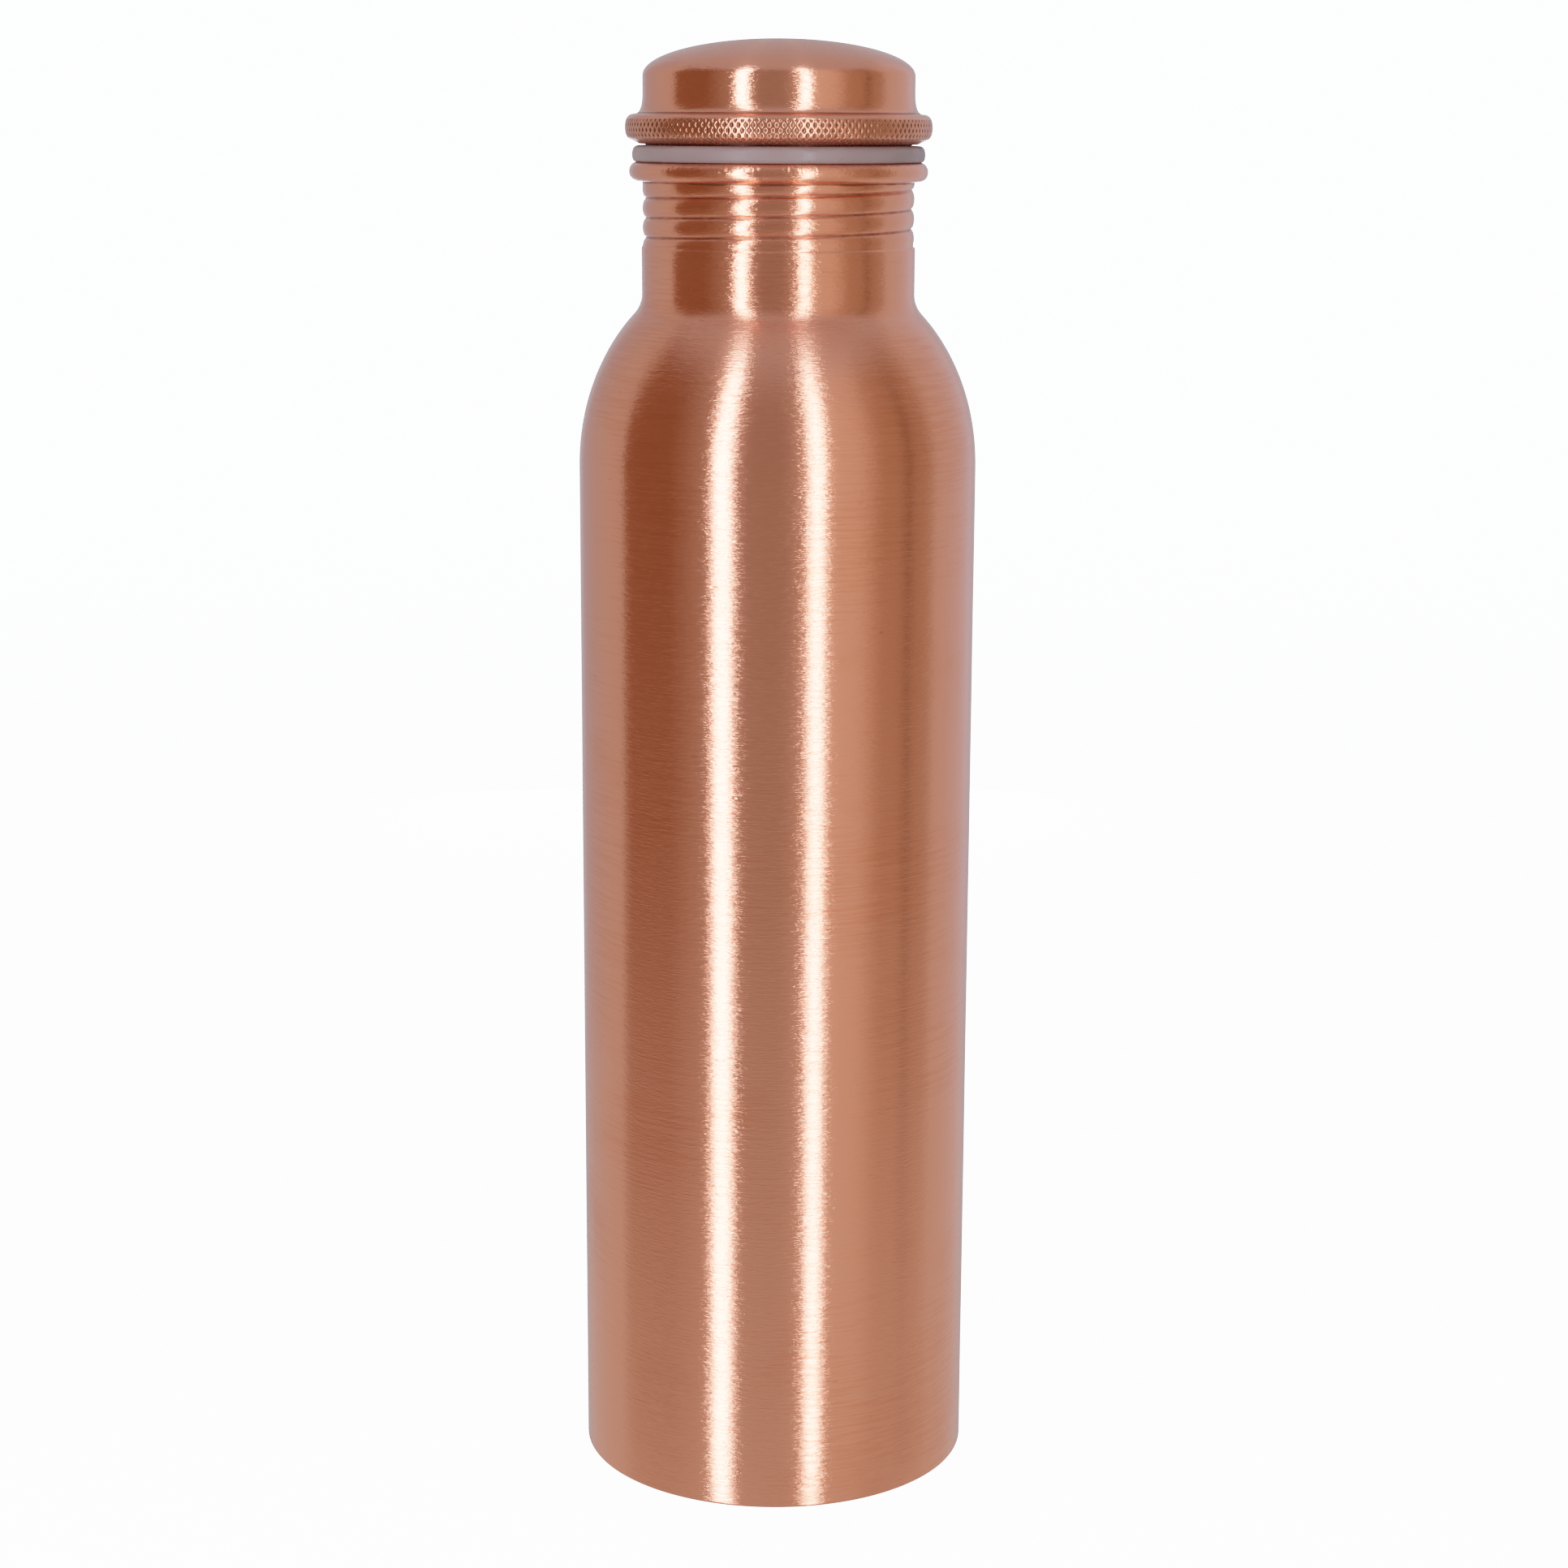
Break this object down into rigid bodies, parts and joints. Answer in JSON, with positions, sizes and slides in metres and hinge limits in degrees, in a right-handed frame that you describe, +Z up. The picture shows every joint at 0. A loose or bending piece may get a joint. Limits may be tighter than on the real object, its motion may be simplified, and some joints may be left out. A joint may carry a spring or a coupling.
{
  "type": "copper water bottle",
  "caption": "Slim cylindrical copper water bottle with a domed shoulder, threaded neck and screw-on domed lid with a knurled grip bead.",
  "frame": {"origin": "centre of the flat ring the bottle stands on", "axes": "+Z up the bottle's axis, from the foot to the lid; X and Y are free, since the bottle is round"},
  "size_m": [0.073, 0.073, 0.2667],
  "materials": {
    "body_copper": "copper, satin, brushed round the axis",
    "base_copper": "copper, spun, with fine turning rings",
    "lid_copper": "copper, satin, brushed round the axis, knurled grip bead",
    "plug_copper": "copper, plain spun",
    "silicone": "milky grey silicone, satin"
  },
  "bodies": {
    "bottle": {"body_shell": "body_copper", "base_plate": "base_copper"},
    "gasket": {"lid_gasket": "silicone"},
    "lid": {"lid_cap": "lid_copper", "lid_plug": "plug_copper"}
  },
  "joints": [
    {"name": "lid_rise", "type": "slide", "parent": "bottle", "child": "gasket", "axis": [0, 0, 1], "range_m": [0, 0.01575]},
    {"name": "lid_turn", "type": "hinge", "parent": "gasket", "child": "lid", "pos_m": [0, 0, 0.24495], "axis": [0, 0, 1], "range_deg": [0, 1620]}
  ],
  "couplings": [
    {"joint": "lid_rise", "follows": "lid_turn", "m_per_rad": 0.00055704}
  ]
}
